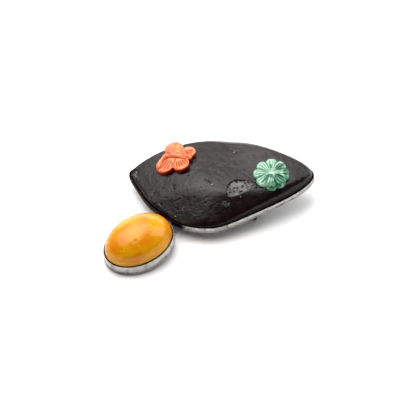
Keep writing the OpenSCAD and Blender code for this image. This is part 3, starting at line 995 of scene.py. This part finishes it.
def slab_tarnish_and_shade(x, y, z):
    """The left side is black, the wall is dulled in patches, and painted shade darkens it towards its foot.
    """
    dimmed = 0.32 + 0.3 * ease(2 * bumps(x, y, 3.0, 51.0)) + 0.2 * ease(2 * bumps(x, y, 1.1, 52.0))
    return np.maximum(dimmed, 0.75 * (1 - ease((z - PLATE) / 1.2))), ease(BLACK_LEFT_OF - x)


# Dulled in patches, with painted shade towards the foot and beside the bridge
def cab_tarnish_and_shade(x, y, z):
    dimmed = 0.34 + 0.3 * ease(2 * bumps(x, y, 2.5, 53.0))
    return np.maximum(dimmed, 0.8 * (1 - ease((z - PLATE) / 1.4))), near_bridge(x, y, 3.0)


bezel_rule = bezel_tree(silver)
cab_outline = oval(*cab_half, 240)
bezel("slab_bezel", bezel_rule, slab_outline, {"Top": SLAB_WALL_H}, slab_tarnish_and_shade)
bezel("cabochon_bezel", bezel_rule, cab_outline, {"Top": CAB_WALL_H, "Lean": 0.03, "Seed": 9}, cab_tarnish_and_shade)

# %% [markdown]
# ## Plates, bridge, hinge and catch
#
# Behind each stone is a flat plate, sawn to the outline of its bezel and filed round at the edge. A
# short, thick bridge joins the two settings, and the hinge's cheeks and the catch stand on the slab's
# plate. All of it is soldered. Simple blocks, cut with a few round and square tools and then softened
# along their edges, look like filed silver.

# %% Back plates
EDGE_FILED = [(0.1, 0.0), (0.03, 0.03), (0.0, 0.1), (0.0, 0.5), (0.03, 0.57), (0.3, 0.58)]


def back_plate(name, outline, middle, dark):
    rings = [at_height(inset(outline, step), z) for step, z in EDGE_FILED]
    low = (*middle, EDGE_FILED[0][1])
    high = (*middle, EDGE_FILED[-1][1])
    points, faces = skin(rings, low, high)
    black = dark * ease((BLACK_LEFT_OF - points[:, 0]) / 1.5)
    made = piece(name, points, faces, silver, {"tarnish_and_shade": np.full(len(points), 0.6), "shade_and_black": black})
    finished(made, "setting")


back_plate("slab_back_plate", slab_outline, SLAB_HUB, 1.0)
back_plate("cabochon_back_plate", cab_outline, CAB_MIDDLE, 0.0)

# %% Blocks, and tools that cut them
def four_corners(low, high):
    """The corners of a rectangle between two of them, anticlockwise."""
    return np.array(low) + np.array([(0, 0), (1, 0), (1, 1), (0, 1)]) * np.subtract(high, low)


def block(name, corners):
    """A block from eight corners: four below, anticlockwise, and the four above them."""
    sides = [(i, (i + 1) % 4, 4 + (i + 1) % 4, 4 + i) for i in range(4)]
    return shape(name, corners, [(3, 2, 1, 0), (4, 5, 6, 7)] + sides)


def rod_tool(radius, start, end, around=48):
    """A round cutter from start to end."""
    start = np.array(start, float)
    run = np.array(end, float) - start
    side = np.cross(run, (0, 0, 1)) / np.linalg.norm(run)
    a = np.arange(around)[:, None] * 2 * pi / around
    ring = radius * (side * np.cos(a) + np.array((0, 0, 1)) * np.sin(a))
    return shape("tool", *skin([start + ring, start + run + ring]))


def shaped(made, tools=(), filed=0.06):
    """Cuts a block with its tools and softens its edges; returns it as one plain mesh."""
    for tool in tools:
        cut = made.modifiers.new("cut", "BOOLEAN")
        cut.operation = "DIFFERENCE"
        cut.solver = "EXACT"
        cut.object = tool
    soften = made.modifiers.new("soften", "BEVEL")
    soften.width = filed
    soften.segments = 2
    soften.limit_method = "ANGLE"
    baked(made).data.materials.append(silver)
    for tool in tools:
        bpy.data.objects.remove(tool)
    return made


# %% [markdown]
# The hinge and the catch are also the feet of the brooch. Their soles are level with the table, so
# each lower corner is put where the table is under it, and not at one depth below the plate.

# %% Sizes of the bridge, the hinge and the catch
BRIDGE_TURN = radians(59)
BRIDGE_SIZE = (5, 6.5)
BRIDGE_Z = (0.1, 1.3)
HINGE_AT = np.array([18.1, -3.4])
CATCH_AT = np.array([-5.6, 12.2])
WIRE_R = 0.45
PIN_GAP = 0.06
PIN_DEPTH = 3.7
KNUCKLE_W = 1.4
CHEEK_T = 0.6
CHEEK_L = 2.4
CATCH_L = 2.6
CATCH_W = 3.4
INTO_PLATE = 0.3
# Up to this height the table has rubbed the soles bright
SOLES_WORN_TO = -4.6
pin_run = CATCH_AT - HINGE_AT
pin_l = float(np.linalg.norm(pin_run))
pin_along = pin_run / pin_l
pin_across = np.array([-pin_along[1], pin_along[0]])
print("the pin runs", round(pin_l, 2), "mm from hinge to catch")

# %% Feet on the table
def on_pin(x, y, z):
    """A point given along, across and above the pin, in the brooch's frame; z is 0 at the plate's back."""
    return (*(HINGE_AT + pin_along * x + pin_across * y), z)


def table_under(x, y):
    """The height of the table under a point, in the brooch's frame."""
    return -(rest_height + up[0] * (x - MIDDLE[0]) + up[1] * (y - MIDDLE[1])) / up[2]


def foot(name, low, high, tools):
    """A block from the plate down to the table, between two corners in the pin's frame."""
    plan = [on_pin(x, y, INTO_PLATE) for x, y in four_corners(low, high)]
    soles = [(x, y, table_under(x, y)) for x, y, _ in plan]
    made = shaped(block(name, soles + plan), tools)
    worn = 1 - ease((points_of(made)[:, 2] - SOLES_WORN_TO) / 0.5)
    # Painted shade: above the worn soles the hinge and catch are darkened under the slab
    settle(made, points_of(made), {"tarnish_and_shade": 1 - 0.6 * worn, "shade_and_black": 0.75 - 0.6 * worn}, sharp=30)
    finished(made, "setting")


hole_r = WIRE_R + PIN_GAP
cheek_in = KNUCKLE_W / 2 + PIN_GAP
cheek_out = cheek_in + CHEEK_T
for side, (low_y, high_y) in {"front": (cheek_in, cheek_out), "back": (-cheek_out, -cheek_in)}.items():
    drill = rod_tool(hole_r, on_pin(0, -4, -PIN_DEPTH), on_pin(0, 4, -PIN_DEPTH))
    foot("hinge_cheek_" + side, (-CHEEK_L / 2, low_y), (CHEEK_L / 2, high_y), [drill])

drill = rod_tool(hole_r, on_pin(pin_l - 4, 0, -PIN_DEPTH), on_pin(pin_l + 4, 0, -PIN_DEPTH))
slot_plan = four_corners((pin_l - CATCH_L, 0), (pin_l + CATCH_L, CATCH_W))
slot_z = (-PIN_DEPTH - hole_r, -PIN_DEPTH + hole_r)
slot = block("slot", [on_pin(x, y, z) for z in slot_z for x, y in slot_plan])
foot("catch", (pin_l - CATCH_L / 2, -CATCH_W / 2), (pin_l + CATCH_L / 2, CATCH_W / 2), [drill, slot])

# %% Bridge
def bridge():
    half = np.array(BRIDGE_SIZE) / 2
    plan = [turned(x, y, BRIDGE_TURN, BRIDGE_AT) for x, y in four_corners(-half, half)]
    made = shaped(block("bridge", [(x, y, z) for z in BRIDGE_Z for x, y in plan]), filed=0.25)
    count = len(made.data.vertices)
    # Painted shade: the bridge is darkened where it lies between the two settings
    settle(made, points_of(made), {"tarnish_and_shade": np.full(count, 0.6), "shade_and_black": np.full(count, 0.9)}, sharp=50)
    finished(made, "setting")


bridge()

# %% [markdown]
# ## The pin
#
# The pin's wire, its knuckle and its rivet already have their right shape in the frame, so that solid
# stays, and only gets a better finish: hard drawn wire, with fine lines along it.

# %% Pin
def drawn_wire_finish():
    finish = Finish("drawn_wire")
    lines = finish.noise(3.0, 3, 0.6, stretch=(0.2, 1, 1))
    spots = finish.noise(0.8, 4, 0.6)
    looks = {
        "Base Color": blend(spread(spots, 0.5, 0.7), (0.5, 0.49, 0.47, 1), (0.2, 0.17, 0.14, 1)),
        "Metallic": 1.0,
        "Roughness": spread(lines, 0.3, 0.7, 0.22, 0.42),
    }
    return finish.mixed(looks, lines, 0.01)


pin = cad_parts["pin_stem"]
pin.data.materials.clear()
pin.data.materials.append(drawn_wire_finish())

# %% [markdown]
# ## The butterfly: its form
#
# The butterfly is coral, carved flat on the back and in low relief on top: four cushioned wings, a
# raised body from tail to head, and grooves that fan out over the wings. Its outline is a union of
# round parts, as a carver would draw it with a compass. The relief is a sum of simple rules: how far in
# a point is from the edge gives the rounding, its distance from the body's line gives the body, and
# its direction from the point where a wing's grooves would meet gives the grooves.

# %% Butterfly's parts
BUTTERFLY_HUB = np.array([-7.6, 12.0])
BUTTERFLY_T = 2.5
BODY_W = 0.6
BODY_RISE = 0.55
BODY_EDGE = 0.95
GROOVE_W = 0.19
GROOVE_DEEP = 0.34
WING_DISH = 0.14
# A notch that parts the back left wing
NOTCH_AT = (-1.2, 2.1)
NOTCH_TURN = radians(70)
EDGE_ROUND = 0.8
EDGE_DROP = 0.6
OVERHANG = 0.8
GLUE_GAP = 0.25
# Direction and distance from the hub, and radius, in mm
wings = {
    "front left wing": (-145, 4.1, 3.3),
    "front right wing": (-61, 3.8, 2.8),
    "head": (-14, 5, 0.75),
    "back right wing": (21, 4.6, 2.5),
    "back left wing": (98, 4.1, 3.2),
    "tail": (165, 3.4, 1.5),
    "middle": (90, 0.2, 2.4),
}
body_line = [(-6, -3), (-5.1, -0.7), (-3.7, 0.8), (-1.2, 0.9), (1.5, -0.1), (3.7, -0.9), (5.1, -1.3)]
# Where a wing's grooves would meet, directions of the first and the last, how many, and from where to where
groove_fans = {
    "front left wing": ((4.4, 9), (-130, -114), 5, (11.8, 16.6)),
    "front right wing": ((-0.1, 2.4), (-85, -55), 5, (4.5, 8.4)),
    "back right wing": ((-4, 1.3), (-5, 5), 3, (6.8, 10.4)),
}
print("the butterfly is a union of", len(wings), "round parts")

# %% Rule of the butterfly's relief
def wing_middle(name):
    turn, distance, radius = wings[name]
    return distance * cos(radians(turn)), distance * sin(radians(turn)), radius


def in_from_wing(x, y, name):
    middle_x, middle_y, radius = wing_middle(name)
    return radius - np.hypot(x - middle_x, y - middle_y)


def butterfly_reach(turn):
    """Distance from the hub to the outline: the furthest edge of the round parts."""
    reach = np.zeros(len(turn))
    for name in wings:
        middle_x, middle_y, radius = wing_middle(name)
        off = middle_x * np.sin(turn) - middle_y * np.cos(turn)
        ahead = middle_x * np.cos(turn) + middle_y * np.sin(turn)
        edge = ahead + np.sqrt(np.maximum(radius**2 - off**2, 0))
        reach = np.maximum(reach, np.where(np.abs(off) < radius, edge, 0))
    return reach


def off_body(x, y):
    """Distance from the body's line."""
    nearest = np.full(len(x), np.inf)
    for a, b in zip(body_line[:-1], body_line[1:]):
        run = np.subtract(b, a)
        share = np.clip(((x - a[0]) * run[0] + (y - a[1]) * run[1]) / (run @ run), 0, 1)
        nearest = np.minimum(nearest, np.hypot(x - a[0] - share * run[0], y - a[1] - share * run[1]))
    return nearest


def butterfly_relief(x, y):
    """Height under the body's crest, and how deep in a groove a point is."""
    inside = np.maximum.reduce([in_from_wing(x, y, name) for name in wings])
    seam = np.partition([in_from_wing(x, y, name) for name in groove_fans], -2, axis=0)
    shoulder = np.sqrt(1 - (1 - np.clip(inside / EDGE_ROUND, 0, 1)) ** 2)
    away = off_body(x, y)
    z = -EDGE_DROP * (1 - shoulder) + BODY_RISE * bell(away, BODY_W) * shoulder
    cut = bell(away - BODY_EDGE, 0.28) * (inside > 0)
    between = bell(seam[-1] - seam[-2], 0.45) * (seam[-2] > -0.3) * ease((away - 0.8) / 0.4)
    cut = np.maximum(cut, between)
    for name, ((start_x, start_y), (first, last), count, (near, far)) in groove_fans.items():
        turn = np.degrees(np.arctan2(y - start_y, x - start_x))
        reach = np.hypot(x - start_x, y - start_y)
        spacing = (last - first) / (count - 1)
        phase = (turn - first) / spacing
        beside = (phase - np.round(phase)) * radians(spacing) * reach
        line = bell(beside, GROOVE_W) * (phase > -0.5) * (phase < count - 0.5)
        span = ease((reach - near) / 0.8) * ease((far - reach) / 1.2)
        own = in_from_wing(x, y, name)
        others = [in_from_wing(x, y, other) for other in groove_fans if other != name]
        mine = (own > np.maximum.reduce(others)) * ease((own - 0.25) / 0.5) * ease((away - 0.9) / 0.4)
        cut = np.maximum(cut, line * span * mine)
    beside = (x - NOTCH_AT[0]) * sin(NOTCH_TURN) - (y - NOTCH_AT[1]) * cos(NOTCH_TURN)
    notch = bell(beside, 0.3) * ease((y - 1.8) / 0.8) * (in_from_wing(x, y, "back left wing") > 0)
    cut = np.maximum(cut, 0.6 * notch)
    dish = WING_DISH * ease((inside - 0.7) / 0.8) * ease((away - 0.8) / 0.6)
    return z - (GROOVE_DEEP * cut + dish) * shoulder, cut * shoulder


# %% Material of the coral
def coral_finish():
    finish = Finish("coral")
    clouds = finish.noise(0.35, 3)
    grain = finish.noise(2.2, 4, 0.6)
    base = blend(spread(clouds, 0.36, 0.64), (0.85, 0.19, 0.05, 1), (0.9, 0.29, 0.1, 1))
    # The deep mark is painted shade: deep red on the side, in the grooves and on the back left wing
    looks = {
        "Base Color": blend(finish.mark("deep"), base, (0.42, 0.018, 0.004, 1)),
        "Roughness": spread(grain, 0.3, 0.7, 0.16, 0.26),
    }
    return finish.mixed(looks | lit_inside(1.5, 0.35, (1.0, 0.25, 0.1), 0.7), grain, 0.012)


coral = coral_finish()

# %% Butterfly
CARVING_SPOKES = 420
CARVING_RINGS = 84
# The rings of its underside, as shares of its outline
UNDER_SHARES = (0.3, 0.55, 0.75, 0.9, 1.0)
# The side of the butterfly is painted a deeper red as shade, which fades out over this many rings of its
# top
WALL_RINGS = 12
# Painted shade on its back left wing: how far left and front of the wing's middle
WING_SHADE_OFF = (1.4, 1.2)


def butterfly_top(x, y):
    crown = slab_crown(x + BUTTERFLY_HUB[0], y + BUTTERFLY_HUB[1])
    return crown + BUTTERFLY_T - BODY_RISE + butterfly_relief(x, y)[0] + 0.03 * bumps(x, y, 1.6, 41.0)


def butterfly_under(x, y):
    u, v = x + BUTTERFLY_HUB[0], y + BUTTERFLY_HUB[1]
    return np.maximum(slab_plain(u, v), slab_crown(u, v) - OVERHANG) + GLUE_GAP


def butterfly():
    turn = np.arange(CARVING_SPOKES) * 2 * pi / CARVING_SPOKES
    reach = butterfly_reach(turn)

    def ring(share, height):
        x = reach * share * np.cos(turn)
        y = reach * share * np.sin(turn)
        return np.column_stack([x + BUTTERFLY_HUB[0], y + BUTTERFLY_HUB[1], height(x, y)])

    over_shares = np.cos(np.arange(CARVING_RINGS) * pi / 2 / CARVING_RINGS)
    rings = [ring(share, butterfly_under) for share in UNDER_SHARES]
    rings += [ring(share, butterfly_top) for share in over_shares]
    middle = np.zeros(1)
    low = (*BUTTERFLY_HUB, butterfly_under(middle, middle)[0])
    high = (*BUTTERFLY_HUB, butterfly_top(middle, middle)[0])
    points, faces = skin(rings, low, high)
    x, y = (points[:, :2] - BUTTERFLY_HUB).T
    far_x, far_y, far_r = wing_middle("back left wing")
    # Painted shade: the back left wing is darker, most of all towards its left front
    wing_shade = 0.12 + 0.45 * ease(1.4 - np.hypot(x - far_x + WING_SHADE_OFF[0], y - far_y + WING_SHADE_OFF[1]) / 2)
    wing_shade = wing_shade * ease(far_r + 0.5 - np.hypot(x - far_x, y - far_y))
    ring_number = np.arange(len(points)) // CARVING_SPOKES - len(UNDER_SHARES)
    groove_and_wing_shade = np.maximum(0.85 * butterfly_relief(x, y)[1], wing_shade)
    # Painted shade, deep red: on the side and underside, in the grooves and on the back left wing
    deep = np.maximum(np.clip(1 - ring_number / WALL_RINGS, 0, 1), np.where(ring_number < 0, 0, groove_and_wing_shade))
    made = piece("coral_butterfly_carved", points, faces, coral, {"deep": deep}, sharp=60)
    finished(made, "coral_butterfly")


butterfly()

# %% [markdown]
# ## The flower: its form
#
# The flower is jade, a rosette of eight cushioned petals with a small hollow in the middle and a few
# grooves along each petal. Every petal is the same, so a rule suits it: the turn round the middle gives
# a wave with one crest for each petal, and everything else follows from the wave.

# %% Flower tree
FLOWER_AT = np.array([24.1, 3.3])
FLOWER_TOP = 8.9
FLOWER_LEAN = 0.105
FLOWER_T = 2.1
UNDER_ENDS = 0.12
WALL_ENDS = 0.16
VEIN_POWER = 2.5
rosette_sizes = {
    "Petals": 8,
    "Radius": 5.9,
    "Turn": -2.0,
    "Notch": 0.13,
    "Notch Power": 1.6,
    "Bow": 0.35,
    "Roll": 0.75,
    "Groove": 0.8,
    "Hollow": 0.32,
    "Veins": 3,
    "Vein Depth": 0.24,
    "Thickness": FLOWER_T,
}


def rosette_tree(material):
    tree, size, end = new_tree("rosette", rosette_sizes)
    grid, turn, climb = polar_grid(tree, 480, 130)
    side = stretch(climb, UNDER_ENDS, WALL_ENDS)
    share = stretch(climb, 0.0, UNDER_ENDS) * quarter(climb, WALL_ENDS)
    swing = (turn - size["Turn"] * (pi / 180)) * size["Petals"]
    valley = 1.0 - calc("ABSOLUTE", calc("COSINE", swing * 0.5))
    reach = size["Radius"] * (1.0 - size["Notch"] * valley ** size["Notch Power"])
    rim = stretch(share, 0.8, 1.0)
    roll = size["Roll"] * (1.0 - calc("SQRT", 1.0 - rim * rim))
    away = stretch(share, 0.3, 0.85) * (1.0 - share * 0.5)
    groove = size["Groove"] * (valley ** 3.0 * away)
    vein = (calc("COSINE", swing * size["Veins"]) * -0.5 + 0.5) ** VEIN_POWER
    vein = vein * (stretch(share, 0.1, 0.4) * (1.0 - rim) * size["Vein Depth"])
    hollow = size["Hollow"] * (1.0 - stretch(share, 0.06, 0.3))
    bow = size["Bow"] * (share * share)
    fall = roll + groove + (hollow + bow) + vein
    z = (fall * side + (1.0 - side) * size["Thickness"]) * -1.0
    place = round_place(share * reach, share * reach, turn, z)
    close_tree(moved(grid, place), material, end)
    return tree


# %% Material of the jade
def jade_finish():
    finish = Finish("jade")
    clouds = finish.noise(0.22, 4, 0.6)
    veins = finish.noise(0.9, 5, 0.65)
    pale = blend(spread(veins, 0.38, 0.62), (0.17, 0.4, 0.26, 1), (0.38, 0.6, 0.46, 1))
    green = blend(spread(veins, 0.35, 0.7), (0.001, 0.09, 0.035, 1), (0.006, 0.2, 0.09, 1))
    # The stone's green patches, with painted shade making it greener towards the right and front
    patch = finish.mark("green") + (clouds - 0.5)
    base = blend(spread(patch, 0.3, 0.7), pale, green)
    # Painted shade: darker green in the grooves, the veins and where the petals fall away
    base = blend(finish.mark("deep") * 0.6, base, (0.015, 0.15, 0.075, 1))
    looks = {
        # Painted highlight: a pale ray right of the middle
        "Base Color": blend(finish.mark("pale"), base, (0.5, 0.66, 0.5, 1)),
        "Roughness": spread(veins, 0.3, 0.7, 0.16, 0.26),
    }
    return finish.mixed(looks | lit_inside(1.6, 0.25, (0.35, 1.0, 0.6), 0.6), veins, 0.01)


jade = jade_finish()

# %% Flower
# Direction of the deep green patches in degrees; how far out, half length and half width as shares
green_patches = [
    (40, 0.64, 0.26, 0.16), (4, 0.84, 0.14, 0.24), (-42, 0.62, 0.34, 0.2), (-60, 0.72, 0.24, 0.16),
    (-88, 0.8, 0.2, 0.28), (92, 0.42, 0.16, 0.08), (-96, 0.2, 0.13, 0.1), (-128, 0.4, 0.3, 0.08),
]
# The same for the painted highlight, a pale ray right of the middle
HIGHLIGHT_RAY = (2, 0.28, 0.3, 0.08)


def flower():
    made = grow("jade_flower_carved", rosette_tree(jade), rosette_sizes)
    x, y, z = points_of(made).T
    radius = rosette_sizes["Radius"]
    ragged = 0.35 * bumps(x, y, 0.8, 61.0)

    def patch(turn, out, half_l, half_w):
        angle = radians(turn)
        middle = (out * cos(angle), out * sin(angle))
        u, v = local(x / radius, y / radius, middle, (half_l, half_w), angle)
        return bell(np.maximum(np.hypot(u, v) + ragged, 0), 1)

    green = 1.5 * np.maximum.reduce([patch(*place) for place in green_patches])
    # Painted shade: greener towards the right and the front
    green = green + 0.22 * (x - 0.5 * y) / radius
    u = x + FLOWER_AT[0]
    v = y + FLOWER_AT[1]
    plane = FLOWER_TOP + FLOWER_LEAN * y
    low = ease((-1.25 - z) / 0.85)
    base = np.maximum(slab_plain(u, v) + GLUE_GAP, plane - FLOWER_T - ease(y / radius))
    height = np.maximum(plane + z, base) * (1 - low) + base * low
    swing = (np.arctan2(y, x) - radians(rosette_sizes["Turn"])) * rosette_sizes["Petals"]
    vein = (0.5 - 0.5 * np.cos(swing * rosette_sizes["Veins"])) ** VEIN_POWER
    share = np.hypot(x, y) / radius
    vein = vein * ease((share - 0.1) / 0.2) * ease((0.9 - share) / 0.2)
    # Painted shade: darker in the grooves, the veins and where the petals fall away
    deep = np.maximum(ease((-z - 0.6) / 0.6), 0.8 * vein)
    # The pale mark is a painted highlight
    marks = {"green": green, "deep": deep, "pale": 0.6 * patch(*HIGHLIGHT_RAY)}
    settle(made, np.column_stack([u, v, height]), marks, sharp=60)
    finished(made, "jade_flower")


flower()

# %% [markdown]
# ## Table and light
#
# The brooch lies on a plain pale table. A dark polished stone shows little but what it mirrors, so the
# lights are shaped for it. One large soft panel hangs over the brooch, a little to the left and back.
# It is made of three discs, one inside the other, because a real panel is brighter towards its middle.
# It gives the slab its broad grey sheen and the cabochon its pale patch. A panel at the right lights
# the silver and the strip above it, and a white screen behind shows as a thin pale line along the far
# edge. Nothing bright stands on the camera's side, so what faces it stays dark.

# %% Table
def table(half=1.5):
    finish = Finish("table")
    grey = blend(finish.noise(0.05, 3), (0.86, 0.86, 0.865, 1), (0.9, 0.9, 0.9, 1))
    corners = [(x, y, 0) for x, y in four_corners((-half, -half), (half, half))]
    made = shape("table", corners, [(0, 1, 2, 3)])
    made.data.materials.append(finish.mixed({"Base Color": grey, "Roughness": 0.7}))


table()

# %% Lights
def panel(name, place, facing, width, height, brightness, colour=(1, 1, 1), shape="RECTANGLE"):
    """A soft panel at a place over the brooch, in metres, whose light goes against facing."""
    data = bpy.data.lights.new(name, "AREA")
    data.shape = shape
    data.size = width
    data.size_y = height
    data.energy = brightness * pi * width * height * (pi / 4 if shape == "ELLIPSE" else 1)
    data.color = colour
    made = new_object(name, data)
    made.location = aim + Vector(place)
    made.rotation_euler = Vector(facing).to_track_quat("Z", "Y").to_euler()


panel("softbox edge", (-0.42, 0.38, 0.92), (0, 0, 1), 1.7, 1.7, 1.7, (1, 0.98, 0.965), "ELLIPSE")
panel("softbox", (-0.42, 0.28, 0.91), (0, 0, 1), 1.15, 1.15, 1.7, (1, 0.975, 0.96), "ELLIPSE")
panel("softbox heart", (-0.15, 0.3, 0.9), (0, 0, 1), 0.8, 0.8, 2.0, (1, 0.975, 0.95), "ELLIPSE")
panel("right softbox", (1.05, 0.3, 0.75), (0.75, 0.1, 0.65), 0.8, 1.2, 2.8)
panel("white screen", (0.3, 1.5, 0.4), (0, 1, 0), 2.8, 0.95, 2.3)


def room(front, back):
    """The room's own light, dim on the camera's side and brighter behind the table."""
    world = bpy.data.worlds.new("room")
    world.use_nodes = True
    tree = world.node_tree
    behind = split(flow(tree, "ShaderNodeTexCoord", out="Generated"))[1]
    glow = {"Color": (0.95, 0.97, 1, 1), "Strength": spread(behind, -0.3, 0.7, front, back)}
    fill(tree.nodes["Background"], glow)
    bpy.context.scene.world = world


room(0.06, 0.5)
bpy.context.scene.view_settings.view_transform = "Standard"
